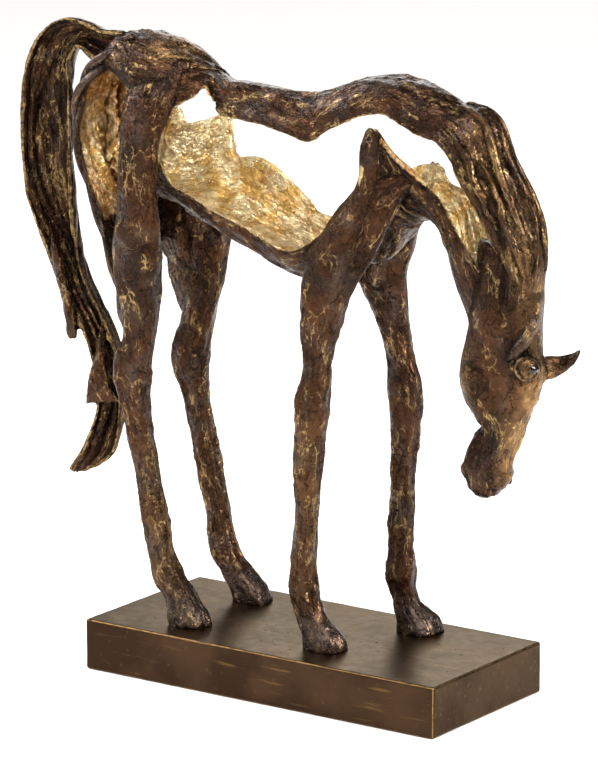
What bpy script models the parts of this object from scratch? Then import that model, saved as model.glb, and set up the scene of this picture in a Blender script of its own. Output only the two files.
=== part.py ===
"""Openwork bronze horse, head lowered, standing on a rectangular plinth.

Frame: origin at the middle of the plinth's underside, +X towards the head,
+Y to the horse's left, +Z up. Sizes below are millimetres, scaled by MM.
"""
import math

import bmesh
import bpy
import numpy as np

MM = 0.001

# Plinth
PLINTH_LENGTH = 312.0
PLINTH_DEPTH = 145.0
PLINTH_HEIGHT = 39.0
PLINTH_EDGE = 0.9
PLINTH_CORNER = 2.0

# Casting
SEAT_GAP = 0.3
WALL = 7.0
TAIL_WALL = 8.0
CAST_VOXEL = 2.3
CAST_SMOOTH = 0.5
CAST_SMOOTH_STEPS = 4
CAST_TRIANGLES = 9000
STEPS_ALONG = 4
STEPS_ACROSS = 6
ROUND_SIDES = 14
BOSS_SIDES = 16
SMOOTH_BELOW = 40.0

# Colours, linear red green blue
HORSE_COLOUR = (0.10, 0.055, 0.035)
PLINTH_COLOUR = (0.075, 0.045, 0.03)

# Legs: height, fore-and-aft place, half depth, half width. Both hind legs share a table.
HIND_LEG = (
    (30, -81.5, 17.0, 14.0), (41, -83.0, 16.5, 13.5), (48, -86.5, 14.5, 12.0),
    (57, -90.8, 12.0, 10.2), (66, -96.4, 11.3, 9.6), (75, -102.8, 13.4, 9.8),
    (91, -109.0, 12.0, 8.4), (112, -113.6, 11.2, 8.0), (135, -119.0, 10.8, 7.8),
    (160, -125.0, 11.3, 8.2), (188, -131.0, 12.2, 8.8), (206, -134.4, 13.2, 10.0),
    (221, -136.4, 17.2, 11.5), (232, -135.6, 16.7, 11.0), (247, -130.6, 14.6, 9.8),
    (266, -127.6, 15.6, 10.2), (282, -127.0, 18.0, 11.0), (300, -128.0, 21.0, 11.5),
    (322, -127.5, 23.0, 11.0),
)
HIND_ASIDE = ((30, 40), (110, 39), (222, 37), (266, 38), (322, 43))
FAR_HIND_STEP = (
    (48, 0), (57, -3.5), (70, -5.5), (85, -3.0), (110, -1.0), (230, 0.0), (282, 1.0), (322, 0),
)
FORE_LEG = (
    (30, 35.5, 19.5, 15.0), (41, 34.5, 19.0, 15.0), (48, 31.0, 15.0, 12.8),
    (57, 26.0, 11.6, 10.4), (68, 21.5, 10.6, 9.4), (83, 17.5, 12.8, 10.0),
    (99, 18.0, 10.6, 8.4), (119, 19.3, 10.2, 8.0), (149, 19.9, 9.9, 8.0),
    (172, 21.2, 10.8, 8.8), (194, 22.8, 12.2, 10.0), (211, 24.6, 14.0, 11.6),
    (225, 25.5, 14.0, 11.4), (238, 27.8, 12.2, 9.8), (252, 29.9, 11.4, 9.0),
    (268, 32.1, 13.0, 10.0), (286, 34.5, 17.0, 11.0), (301, 36.0, 20.0, 11.0),
    (320, 41.0, 23.0, 10.0),
)
NEAR_FORE_ASIDE = ((30, 34), (110, 35), (240, 36), (320, 39))
FAR_FORE_ASIDE = ((30, 43), (110, 42), (240, 41), (320, 38))
# How far the far foreleg stands ahead of the near one at each height
FAR_FORE_STEP = (
    (30, 31.5), (60, 31.0), (80, 33.0), (150, 32.8), (205, 32.0), (228, 29.0),
    (250, 20.5), (272, 14.0), (296, 6.5), (320, -1.0),
)

# Haunch bands above the hind legs: height, place, half depth, half width, distance aside
NEAR_HAUNCH = (
    (322, -127.5, 23.0, 11.0, 43), (345, -123.5, 20.0, 9.0, 46), (368, -123.8, 18.8, 8.0, 47),
    (390, -124.0, 18.5, 8.0, 46), (410, -124.0, 19.0, 8.5, 43), (428, -120.0, 22.0, 8.5, 38),
    (442, -117.0, 26.0, 8.5, 30),
)
FAR_HAUNCH = (
    (282, -128.5, 20.5, 12.0, 40), (300, -132.0, 25.5, 12.0, 42), (322, -139.0, 31.0, 10.0, 43),
    (345, -138.0, 33.0, 7.0, 46), (372, -138.0, 32.0, 5.0, 46),
)
# Rolled near edge of the rump: height, place, radius
REAR_RIM = (
    (472, -147, 4.5), (464, -159, 5.5), (454, -171, 6.2), (441, -183, 6.4), (428, -190, 6.2),
    (408, -192, 5.8), (384, -190.0, 5.6), (364, -183.5, 5.6), (345, -174.5, 5.6),
    (325, -166.0, 5.6), (305, -157.0, 5.8), (286, -149, 6.2), (268, -143, 6.5),
)
REAR_RIM_ASIDE = ((268, 36), (310, 31), (360, 28), (440, 28), (472, 18))

# Rump shell by height: x and y of near rim, tail side, far quarter, flank and far front edge
RUMP = (
    (458, (-166, -26), (-182, -4), (-177, 20), (-164, 33), (-152, 37)),
    (440, (-185, -28), (-193, -4), (-188, 24), (-172, 38), (-154, 42)),
    (424, (-194, -28), (-200, -4), (-195, 26), (-175, 42), (-154, 44)),
    (408, (-197, -28), (-203, -4), (-198, 28), (-174, 45), (-153, 46)),
    (398, (-197, -28), (-203, -4), (-198, 28), (-173, 46), (-148, 46)),
    (389, (-195, -28), (-202, -4), (-197, 28), (-172, 46), (-116, 46)),
    (375, (-191, -28), (-198, -4), (-194, 29), (-171, 46), (-114, 46)),
    (355, (-182, -28), (-190, -3), (-188, 30), (-168, 47), (-111, 46)),
    (335, (-173, -29), (-181, -2), (-180, 30), (-164, 46), (-110, 45)),
    (314, (-163, -31), (-168, 0), (-169, 30), (-158, 45), (-112, 44)),
)

# Top line from tail head to jaw: crown x z, near edge x z, half width
TOP_LINE = (
    (-184, 460, -180, 440, 16), (-174, 470, -168, 448, 26), (-160, 476, -154, 446, 33),
    (-140, 477, -136, 436, 38), (-120, 474, -114, 429, 38), (-104, 465, -98, 429, 35),
    (-93, 456, -85, 436, 29), (-84, 451, -77, 444, 22), (-74, 447, -69, 427, 23),
    (-58, 447, -56, 423, 23), (-28, 445, -29, 419.5, 24), (-5, 444, -5, 414.5, 24),
    (14, 447, 14, 412, 25), (34, 455, 34, 424, 25), (59, 463, 58, 435, 26),
    (85, 464, 82, 443, 26), (108, 460, 104, 432, 25), (130, 452, 126, 427, 24),
    (149, 449, 138, 416, 24), (163, 439, 145, 403, 24), (174, 414, 152, 391, 23),
    (187, 391, 158, 379, 22), (196, 369, 164, 366, 22), (199, 346, 169, 356, 21),
    (199, 322, 172, 345, 20),
)
# The far edge of the back stands in from the near one and higher
TOP_FAR_SHARE = 0.7
TOP_FAR_RISE = 6.0

# Under line from flank to jaw: near edge x z, keel x z, far edge x z, half widths
KEEL_ASIDE = 2.0
UNDER_LINE = (
    (-122, 405, -124, 350, -146, 393, 38, 44), (-112, 387, -103, 347, -110, 408, 37, 44),
    (-103, 372, -92, 340, -98, 382, 36, 43), (-84, 364, -80, 336, -84, 381, 36, 42),
    (-66, 356, -64, 329, -68, 378, 36, 42), (-41, 348, -43, 321, -46, 365, 36, 42),
    (-18, 339, -20, 313, -26, 346, 37, 42), (0, 334, 0, 309, -4, 342, 38, 42),
    (18, 339, 15, 308, 10, 353, 39, 41), (40, 356, 32, 315, 28, 368, 40, 39),
    (60, 371, 48, 318, 46, 382, 41, 36), (72, 388, 60, 321, 62, 390, 41, 31),
    (73, 412, 73, 330, 75, 395, 40, 28), (82, 431, 84, 346, 86, 398, 38, 25),
    (98, 413, 95, 358, 98, 398, 33, 22), (117, 403, 106, 362, 109, 388, 28, 20),
    (136, 391, 117, 355, 121, 381, 25, 19), (153, 372, 124, 338, 137, 371, 22, 18),
    (163, 357, 129, 317, 149, 351, 20, 17), (169, 340, 135, 297, 155, 328, 18, 16),
)

# Shoulder ridge up the near plate to its spike: x, y, z, half depth, half width
SHOULDER_RIDGE = (
    (38, -39, 320, 22, 10), (51, -41, 345, 14, 8), (65, -41, 370, 8, 6.5), (74, -40, 395, 5.5, 5),
    (78, -39, 415, 4, 4), (81, -38, 431, 2.5, 3),
)
FAR_SHOULDER_RIDGE = (
    (38, 38, 318, 18, 9), (44, 37, 345, 15, 6), (54, 34, 372, 12, 5),
)
# Lower neck and head: x, z, half depth, half width
NECK_ROOT = (
    (172, 352, 26, 14), (171, 335, 26.5, 17), (170, 315, 28.5, 18), (169, 297, 29.5, 18),
    (169, 283, 30.5, 18), (166.5, 268, 33.5, 18.5), (165, 254, 34.5, 18.5), (165, 240, 31.5, 17.5),
    (165.5, 226, 23.5, 15), (165, 213, 16.5, 12.5), (157.5, 200, 19, 12.5),
    (153.5, 187, 21.0, 14), (154.5, 174, 18.5, 13), (157, 165, 13, 10),
)
FAR_EAR = (
    (190, 14, 259, 9, 5), (198, 19, 260.5, 8.5, 5), (208, 21, 266, 5.5, 4), (218, 22, 273.5, 2, 1.8),
)
# Rounded forms on the head, mirrored: x, distance aside, z, then its three radii
HEAD_BOSSES = (
    (195, 12.5, 267, 9.5, 8, 9.5), (152, 9, 253, 17, 10.5, 20), (164, 8, 180, 7, 5.5, 9.5),
    (141, 4, 184, 7.5, 8, 8.5),
)
NEAR_EAR = (
    (180, -19, 271, 5, 3), (187, -20, 280, 7, 3.5), (194, -19, 288, 6, 3), (201, -17, 295, 2, 1.5),
)

# Tail ribbon: outer edge x z, inner edge x z
TAIL = (
    (-164, 475, -176, 449), (-182, 474, -192, 447), (-197, 478, -203, 452), (-214, 480, -211, 456),
    (-232, 474, -216, 448), (-246, 460, -218, 436), (-257, 437, -218, 421), (-260, 408, -218, 400),
    (-260, 378, -218, 376), (-257, 348, -217, 352), (-250, 324, -215, 325), (-240, 304, -212, 303),
    (-229, 282, -206, 282), (-218, 262, -196, 264), (-204, 240, -184, 246), (-194, 216, -174, 222),
    (-191, 197, -172, 202), (-193, 180, -173, 184), (-200, 163, -178, 166), (-209, 147, -187, 151),
    (-219, 131, -213, 130),
)
TAIL_EDGES_ASIDE = (-11.0, -5.0)
TAIL_HOLLOW = 20.0
TAIL_LOCKS = (
    ((-228, -10, 300, 5.5, 5.5), (-221, -12, 281, 6, 6), (-214, -13, 258, 5, 5),
     (-212, -13, 233, 1.6, 1.6)),
    ((-192, -8, 236, 7, 7), (-189, -11, 215, 6.5, 6), (-192, -12, 198, 5, 4.5),
     (-200, -13, 181, 1.6, 1.6)),
)
# Mane locks lie across the near face at these shares of the way from crown to edge
MANE_SHARES = (0.16, 0.42, 0.68, 0.94)
MANE_OUT = 0.35
MANE_LOCK = 4.6
MANE_FROM = 17


def spline(rows, per_span):
    """Rows joined by a smooth curve, with per_span steps between neighbours."""
    rows = np.asarray(rows, float)
    line = np.concatenate([2 * rows[:1] - rows[1:2], rows, 2 * rows[-1:] - rows[-2:-1]])
    share = np.linspace(0.0, 1.0, per_span, endpoint=False).reshape((-1,) + (1,) * (rows.ndim - 1))
    spans = []
    for a, b, c, d in zip(line, line[1:], line[2:], line[3:]):
        spans.append(0.5 * (2 * b + (c - a) * share + (2 * a - 5 * b + 4 * c - d) * share ** 2
                            + (3 * b - a - 3 * c + d) * share ** 3))
    return np.concatenate(spans + [rows[-1:]])


def bent_grid(name, points, closed=False):
    """A flat grid bent onto points (rows, columns, 3); closed rolls it into a capped tube."""
    rows, columns = points.shape[:2]
    bm = bmesh.new()
    bmesh.ops.create_grid(bm, x_segments=rows - 1, y_segments=columns - 1, size=1.0)
    for vert in bm.verts:
        row = round((vert.co.x + 1.0) / 2.0 * (rows - 1))
        column = round((vert.co.y + 1.0) / 2.0 * (columns - 1))
        vert.co = points[row, column] * MM
    if closed:
        bmesh.ops.remove_doubles(bm, verts=bm.verts, dist=1e-6)
        bmesh.ops.recalc_face_normals(bm, faces=bm.faces)
    mesh = bpy.data.meshes.new(name)
    bm.to_mesh(mesh)
    bm.free()
    obj = bpy.data.objects.new(name, mesh)
    FORMS.objects.link(obj)
    return obj


def limb(name, rows):
    """A closed tube of oval sections through (x, y, z, half depth, half width)."""
    rows = spline(rows, STEPS_ALONG)
    centre = rows[:, :3]
    run = np.gradient(centre, axis=0)
    run /= np.linalg.norm(run, axis=1)[:, None]
    aside = np.array([0.0, 1.0, 0.0]) - run[:, 1:2] * run
    aside /= np.linalg.norm(aside, axis=1)[:, None]
    fore = np.cross(aside, run)
    angle = np.linspace(0.0, 2.0 * math.pi, ROUND_SIDES + 1)[None, :, None]
    depth = rows[:, None, 3:4]
    width = rows[:, None, 4:5]
    ring = centre[:, None] + fore[:, None] * depth * np.cos(angle) + aside[:, None] * width * np.sin(angle)
    start = np.repeat(centre[:1, None], ROUND_SIDES + 1, axis=1)
    end = np.repeat(centre[-1:, None], ROUND_SIDES + 1, axis=1)
    bent_grid(name, np.concatenate([start, ring, end]), closed=True)


def shell(name, rows, thickness, outward):
    """A wall of one thickness behind rows (stations, points, 3); outward is the skin's middle normal."""
    points = spline(rows, STEPS_ALONG)
    i, j = points.shape[0] // 2, points.shape[1] // 2
    normal = np.cross(points[i + 1, j] - points[i, j], points[i, j + 1] - points[i, j])
    if normal @ np.asarray(outward) < 0:
        points = points[:, ::-1]
    obj = bent_grid(name, points)
    wall = obj.modifiers.new("Wall", "SOLIDIFY")
    wall.thickness = thickness * MM
    wall.offset = -1.0
    return obj


def boss(name, centre, radii):
    bm = bmesh.new()
    bmesh.ops.create_uvsphere(bm, u_segments=BOSS_SIDES, v_segments=BOSS_SIDES // 2, radius=MM)
    bmesh.ops.scale(bm, vec=radii, verts=bm.verts)
    bmesh.ops.translate(bm, vec=np.array(centre) * MM, verts=bm.verts)
    mesh = bpy.data.meshes.new(name)
    bm.to_mesh(mesh)
    bm.free()
    FORMS.objects.link(bpy.data.objects.new(name, mesh))


def gutter(near, middle, far):
    """Points over a U section: two quarter ovals that meet, square to the sides, at the middle."""
    angle = np.linspace(0.0, math.pi / 2.0, STEPS_ACROSS + 1)[:, None]
    halves = []
    for edge in (near, far):
        reach = edge - middle
        over = reach * (0.0, 1.0, 0.0)
        halves.append(middle + over * np.cos(angle) + (reach - over) * (1.0 - np.sin(angle)))
    return np.concatenate([halves[0], halves[1][-2::-1]])


def at_heights(table, heights):
    """The second column of table read off at each height."""
    table = np.asarray(table, float)
    return np.interp(heights, table[:, 0], table[:, 1])


def leg(name, table, aside, side, step=None):
    table = np.asarray(table, float)
    height = table[:, 0]
    place = table[:, 1] + (at_heights(step, height) if step else 0.0)
    across = side * at_heights(aside, height)
    limb(name, np.stack([place, across, height, table[:, 2], table[:, 3]], axis=1))


def haunch(name, table, side):
    rows = []
    for height, place, depth, width, aside in table:
        rows.append((place, side * aside, height, depth, width))
    limb(name, rows)


def hindquarters():
    leg("hind leg near", HIND_LEG, HIND_ASIDE, -1)
    leg("hind leg far", HIND_LEG, HIND_ASIDE, 1, FAR_HIND_STEP)
    haunch("haunch near", NEAR_HAUNCH, -1)
    haunch("haunch far", FAR_HAUNCH, 1)
    rim = np.asarray(REAR_RIM, float)
    aside = -at_heights(REAR_RIM_ASIDE, rim[:, 0])
    limb("rear rim", np.stack([rim[:, 1], aside, rim[:, 0], rim[:, 2], rim[:, 2]], axis=1))
    sections = []
    for height, *corners in RUMP:
        sections.append(spline([(x, y, height) for x, y in corners], STEPS_ACROSS))
    shell("rump", np.array(sections), WALL, (-1, 0, 0))


def forequarters():
    leg("foreleg near", FORE_LEG, NEAR_FORE_ASIDE, -1)
    leg("foreleg far", FORE_LEG, FAR_FORE_ASIDE, 1, FAR_FORE_STEP)
    limb("shoulder near", SHOULDER_RIDGE)
    limb("shoulder far", FAR_SHOULDER_RIDGE)


def top_line():
    """Croup, back, withers and crest as one inverted gutter, with the mane locks on its near face."""
    sections = []
    for crown_x, crown_z, edge_x, edge_z, half in TOP_LINE:
        near = np.array([edge_x, -half, edge_z], float)
        far = np.array([edge_x, half * TOP_FAR_SHARE, edge_z + TOP_FAR_RISE], float)
        sections.append(gutter(near, np.array([crown_x, 0.0, crown_z]), far))
    shell("top line", np.array(sections), WALL, (0, 0, 1))
    for number, share in enumerate(MANE_SHARES):
        rows = []
        turn = math.pi / 2.0 * min(1.0, MANE_OUT + share)
        for crown_x, crown_z, edge_x, edge_z, half in TOP_LINE[MANE_FROM:]:
            x = crown_x + (edge_x - crown_x) * share
            z = crown_z + (edge_z - crown_z) * share
            rows.append((x, -half * math.sin(turn), z, MANE_LOCK, MANE_LOCK))
        limb(f"mane lock {number}", rows)


def under_line():
    sections = []
    for near_x, near_z, keel_x, keel_z, far_x, far_z, near_half, far_half in UNDER_LINE:
        near = np.array([near_x, -near_half, near_z], float)
        far = np.array([far_x, far_half, far_z], float)
        sections.append(gutter(near, np.array([keel_x, KEEL_ASIDE, keel_z]), far))
    shell("under line", np.array(sections), WALL, (0, 0, -1))


def head():
    limb("neck and head", [(x, 0.0, z, depth, width) for x, z, depth, width in NECK_ROOT])
    limb("ear far", FAR_EAR)
    limb("ear near", NEAR_EAR)
    for number, (x, aside, z, *radii) in enumerate(HEAD_BOSSES):
        for side in (-1, 1):
            boss(f"head boss {number} {side}", (x, side * aside, z), radii)


def tail():
    sections = []
    angle = np.linspace(0.0, math.pi, 2 * STEPS_ACROSS + 1)[:, None]
    for outer_x, outer_z, inner_x, inner_z in TAIL:
        outer = np.array([outer_x, TAIL_EDGES_ASIDE[0], outer_z], float)
        inner = np.array([inner_x, TAIL_EDGES_ASIDE[1], inner_z], float)
        across = outer + (inner - outer) * (1.0 - np.cos(angle)) / 2.0
        sections.append(across + (0.0, TAIL_HOLLOW, 0.0) * np.sin(angle))
    shell("tail", np.array(sections), TAIL_WALL, (0, 1, 0))
    for number, rows in enumerate(TAIL_LOCKS):
        limb(f"tail lock {number}", rows)


def material(name, colour, roughness):
    mat = bpy.data.materials.new(name)
    mat.use_nodes = True
    shader = mat.node_tree.nodes["Principled BSDF"]
    shader.inputs["Base Color"].default_value = (*colour, 1.0)
    shader.inputs["Roughness"].default_value = roughness
    shader.inputs["Metallic"].default_value = 1.0
    return mat


def casting():
    """All the forms cast as one skin, with its feet trimmed flat."""
    graph = bpy.context.evaluated_depsgraph_get()
    bm = bmesh.new()
    for form in FORMS.objects:
        mesh = bpy.data.meshes.new_from_object(form.evaluated_get(graph))
        bm.from_mesh(mesh)
        bpy.data.meshes.remove(mesh)
    mesh = bpy.data.meshes.new("horse")
    bm.to_mesh(mesh)
    bm.free()
    horse = bpy.data.objects.new("horse", mesh)
    MODEL.objects.link(horse)
    skin = horse.modifiers.new("Skin", "REMESH")
    skin.mode = "VOXEL"
    skin.voxel_size = CAST_VOXEL * MM
    smooth = horse.modifiers.new("Soften", "SMOOTH")
    smooth.factor = CAST_SMOOTH
    smooth.iterations = CAST_SMOOTH_STEPS
    graph.update()
    count = sum(len(face.vertices) - 2 for face in horse.evaluated_get(graph).data.polygons)
    thin = horse.modifiers.new("Facets", "DECIMATE")
    thin.ratio = min(1.0, CAST_TRIANGLES / count)
    graph.update()
    cast = bpy.data.meshes.new_from_object(horse.evaluated_get(graph))
    horse.modifiers.clear()
    horse.data = cast
    trim_feet(horse)
    horse.data.shade_smooth()
    horse.data.set_sharp_from_angle(angle=math.radians(SMOOTH_BELOW))
    horse.data.materials.append(material("dark bronze", HORSE_COLOUR, 0.42))


def trim_feet(horse):
    """Cuts the hooves flat just above the plinth and closes the soles."""
    bm = bmesh.new()
    bm.from_mesh(horse.data)
    seat = (PLINTH_HEIGHT + SEAT_GAP) * MM
    cut = bmesh.ops.bisect_plane(bm, geom=bm.verts[:] + bm.edges[:] + bm.faces[:], dist=1e-7,
                                 plane_co=(0, 0, seat), plane_no=(0, 0, -1), clear_outer=True)
    rim = [item for item in cut["geom_cut"] if isinstance(item, bmesh.types.BMEdge)]
    bmesh.ops.holes_fill(bm, edges=rim, sides=0)
    bmesh.ops.triangulate(bm, faces=bm.faces[:])
    bm.to_mesh(horse.data)
    bm.free()


def plinth():
    bm = bmesh.new()
    bmesh.ops.create_cube(bm, size=1.0)
    size = np.array([PLINTH_LENGTH, PLINTH_DEPTH, PLINTH_HEIGHT]) * MM
    bmesh.ops.scale(bm, vec=size, verts=bm.verts)
    bmesh.ops.translate(bm, vec=(0, 0, size[2] / 2), verts=bm.verts)
    upright = [edge for edge in bm.edges
               if abs(edge.verts[0].co.z - edge.verts[1].co.z) > size[2] / 2]
    bmesh.ops.bevel(bm, geom=upright, offset=PLINTH_CORNER * MM, segments=4, affect="EDGES", profile=0.5)
    around = [edge for edge in bm.edges if abs(edge.verts[0].co.z - edge.verts[1].co.z) < 1e-6
              and len(edge.link_faces) == 2 and edge.calc_face_angle() > 1.0]
    bmesh.ops.bevel(bm, geom=around, offset=PLINTH_EDGE * MM, segments=2, affect="EDGES", profile=0.5)
    mesh = bpy.data.meshes.new("plinth")
    bm.to_mesh(mesh)
    bm.free()
    obj = bpy.data.objects.new("plinth", mesh)
    MODEL.objects.link(obj)
    obj.data.materials.append(material("plinth bronze", PLINTH_COLOUR, 0.5))


for old in list(bpy.data.objects):
    bpy.data.objects.remove(old, do_unlink=True)
MODEL = bpy.data.collections.new("horse on plinth")
FORMS = bpy.data.collections.new("casting forms")
for group in (MODEL, FORMS):
    bpy.context.scene.collection.children.link(group)

hindquarters()
forequarters()
top_line()
under_line()
head()
tail()
casting()
plinth()

FORMS.hide_render = True
for form in FORMS.objects:
    form.hide_render = True
    form.display_type = "WIRE"
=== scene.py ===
# Openwork bronze horse on its plinth: the finished skin, its patina and gold leaf, lights and camera.
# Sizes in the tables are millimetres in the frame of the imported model: +X to the head, +Z up.
import math
from functools import partial

import bmesh
import bpy
import numpy as np
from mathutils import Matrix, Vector


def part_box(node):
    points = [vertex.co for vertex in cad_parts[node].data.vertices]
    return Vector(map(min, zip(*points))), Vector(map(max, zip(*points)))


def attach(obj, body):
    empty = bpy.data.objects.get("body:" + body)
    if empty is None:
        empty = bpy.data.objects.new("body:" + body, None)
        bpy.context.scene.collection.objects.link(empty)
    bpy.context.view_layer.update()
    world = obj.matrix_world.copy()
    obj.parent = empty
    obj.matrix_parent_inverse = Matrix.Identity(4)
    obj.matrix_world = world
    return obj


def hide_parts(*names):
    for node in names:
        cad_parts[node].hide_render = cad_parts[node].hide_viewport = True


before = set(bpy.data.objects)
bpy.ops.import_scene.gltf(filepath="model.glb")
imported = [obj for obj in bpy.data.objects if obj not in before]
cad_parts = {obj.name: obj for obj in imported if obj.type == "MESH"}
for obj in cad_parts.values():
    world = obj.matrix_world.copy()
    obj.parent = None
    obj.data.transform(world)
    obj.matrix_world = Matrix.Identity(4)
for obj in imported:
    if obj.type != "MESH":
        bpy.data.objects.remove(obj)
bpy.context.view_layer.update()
mm = 0.001
plinthLow, plinthHigh = (np.array(corner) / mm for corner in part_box("plinth"))


def hexColour(code):  # an sRGB hex colour as linear red, green, blue and alpha
    parts = [int(code[i:i + 2], 16) / 255.0 for i in (1, 3, 5)]
    return [c / 12.92 if c <= 0.04045 else ((c + 0.055) / 1.055) ** 2.4 for c in parts] + [1.0]


def addNode(tree, kind, settings, inputs=(), out=0):
    # a node with its settings, its inputs by number or name as values or links; gives back one of its outputs
    node = tree.nodes.new("ShaderNode" + kind)
    for name, value in settings.items():
        setattr(node, name, value)
    for name, value in (inputs if isinstance(inputs, dict) else dict(enumerate(inputs))).items():
        if isinstance(value, bpy.types.NodeSocket):
            tree.links.new(value, node.inputs[name])
        else:
            node.inputs[name].default_value = value
    return node.outputs[out]


# Settings that many nodes share
eased, colours = {"interpolation_type": "SMOOTHSTEP"}, {"data_type": "RGBA"}
plus, minus, times, timesPlus, larger = ({"operation": name} for name in (
    "ADD", "SUBTRACT", "MULTIPLY", "MULTIPLY_ADD", "MAXIMUM"))


def unit(vectors):  # every vector at length one
    return vectors / np.maximum(np.linalg.norm(vectors, axis=-1, keepdims=True), 1e-9)


def arcLength(points, axis):  # distance run along one axis of a grid of points
    steps = np.linalg.norm(np.diff(points, axis=axis), axis=-1)
    start = np.zeros_like(np.take(steps, [0], axis=axis))
    return np.concatenate([start, np.cumsum(steps, axis=axis)], axis=axis)


def curveThrough(rows, steps):  # a Catmull-Rom curve through the rows, with steps points to a span
    rows = np.asarray(rows, float)
    line = np.concatenate([2 * rows[:1] - rows[1:2], rows, 2 * rows[-1:] - rows[-2:-1]])
    a, b, c, d = (line[i:len(line) - 3 + i, None] for i in range(4))
    t = np.linspace(0.0, 1.0, steps, endpoint=False)[None, :, None]
    span = 0.5 * (2 * b + (c - a) * t + (2 * a - 5 * b + 4 * c - d) * t ** 2
                  + (3 * b - a - 3 * c + d) * t ** 3)
    return np.concatenate([span.reshape(-1, rows.shape[1]), rows[-1:]])


def smoothStep(low, high, values):  # 0 below low, 1 above high, eased between them
    t = np.clip((values - low) / (high - low), 0.0, 1.0)
    return t * t * (3.0 - 2.0 * t)


lattice = 32  # cubes after which a pattern repeats


def cloudNoise(points, size, seed):
    # random slopes at the corners of a turned lattice of cubes, eased together, about 0 to 1
    rng = np.random.default_rng(seed)
    turn = np.linalg.qr(rng.normal(size=(3, 3)))[0]
    q = points / np.asarray(size, float) @ turn
    cell = np.floor(q).astype(int)
    f = q - cell
    ease = f * f * f * (f * (6.0 * f - 15.0) + 10.0)
    slopes = unit(rng.normal(size=(lattice, lattice, lattice, 3)))
    total = np.zeros(len(q))
    for corner in np.ndindex(2, 2, 2):
        weight = np.prod(np.where(corner, ease, 1.0 - ease), axis=1)
        i, j, k = ((cell + corner) % lattice).T
        total += weight * (slopes[i, j, k] * (f - corner)).sum(axis=1)
    return np.clip(0.5 + 0.9 * total, 0.0, 1.0)


def gouges(points, size, seed):
    # bowls round scattered centres: squared distance to the nearest, and how much further the second is
    rng = np.random.default_rng(seed)
    q = points / np.asarray(size, float)
    cell = np.floor(q).astype(int)
    scatter = rng.random((lattice, lattice, lattice, 3))
    nearest, second = np.full((2, len(q)), 9.0)  # further than any centre can be
    for corner in np.ndindex(3, 3, 3):
        at = cell + corner - 1
        i, j, k = (at % lattice).T
        away = ((q - at - scatter[i, j, k]) ** 2).sum(axis=1)
        second = np.minimum(second, np.maximum(nearest, away))
        nearest = np.minimum(nearest, away)
    return nearest, second - nearest


def blobs(points, table):  # the sum of soft ovals: x, y, z, three radii and an amount, the same on both sides
    total = np.zeros(len(points))
    for x, aside, z, *radii, amount in table:
        away = np.stack([points[:, 0] - x, np.abs(points[:, 1]) - aside, points[:, 2] - z], axis=1) / radii
        total += amount * np.exp(-(away ** 2).sum(axis=1))
    return total


# The casting. Each form is a closed skin: rings of points carried along a path.
skins = []
looks = ("leaf", "rim", "bark", "strand", "eye")  # what the finish reads from each form
grainApart = 151.0  # sets each form's grain apart from its neighbours'


def addSkin(rings, lie, leaf=0.0, rim=0.0, bark=1.0, strand=0.0, eye=0.0):
    # rings (stations, points, 3) joined to the next by four-sided faces and zipped shut at both ends
    stations, count = rings.shape[:2]
    number = np.arange(stations * count).reshape(stations, count)
    beside = np.roll(number, -1, axis=1)
    faces = [np.stack([number[:-1], beside[:-1], beside[1:], number[1:]], axis=-1).reshape(-1, 4)]
    j = np.arange(count // 2 - 1)
    for end in (number[0], number[-1]):
        faces.append(np.stack([end[j], end[j + 1], end[count - 2 - j], end[count - 1 - j]], axis=-1))
    lie = (lie + (0.0, 0.0, grainApart * len(skins))).reshape(-1, 3)
    marks = [np.broadcast_to(np.asarray(value, float), (stations, count)).ravel()
             for value in (leaf, rim, bark, strand, eye)]
    skins.append((rings.reshape(-1, 3), np.concatenate(faces), lie, np.stack(marks)))


def ovalTube(rows, steps=6, sides=32, square=2.0, **look):
    # ovals (x, y, z, half depth, half width, taper) across a smooth path; square above 2 flattens the sides
    rows = curveThrough(rows, steps)
    centre = rows[:, :3]
    run = unit(np.gradient(centre, axis=0))
    aside = unit(np.array([0.0, 1.0, 0.0]) - run[:, 1:2] * run)
    fore = np.cross(aside, run)
    angle = np.linspace(0.0, 2.0 * math.pi, sides, endpoint=False)
    swell = (np.abs(np.cos(angle)) ** square + np.abs(np.sin(angle)) ** square) ** (-1.0 / square)
    swell /= swell.mean()
    c, s = np.cos(angle) * swell, np.sin(angle) * swell
    taper = rows[:, 5:6] * c if rows.shape[1] > 5 else 0.0 * c
    depth = rows[:, 3:4] * c
    width = rows[:, 4:5] * s * (1.0 + taper)
    rings = centre[:, None] + fore[:, None] * depth[..., None] + aside[:, None] * width[..., None]
    along = arcLength(centre, 0)[:, None] + 0.0 * c
    girth = rows[:, 3:5].mean()
    lie = np.stack([girth * c + 0.0 * along, girth * s + 0.0 * along, along], axis=-1)
    addSkin(rings, lie, **look)


def gutter(near, middle, far, across, square=1.0):
    # a U section at each station: two quarter ovals that meet, square to the sides, at the middle
    angle = np.linspace(0.0, math.pi / 2.0, across)[None, :, None]
    halves = []
    for edge in (near, far):
        reach = (edge - middle)[:, None]
        over = reach * (0.0, 1.0, 0.0)
        halves.append(middle[:, None] + over * np.cos(angle) ** square
                      + (reach - over) * (1.0 - np.sin(angle) ** square))
    return np.concatenate([halves[0], halves[1][:, -2::-1]], axis=1)


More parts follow.
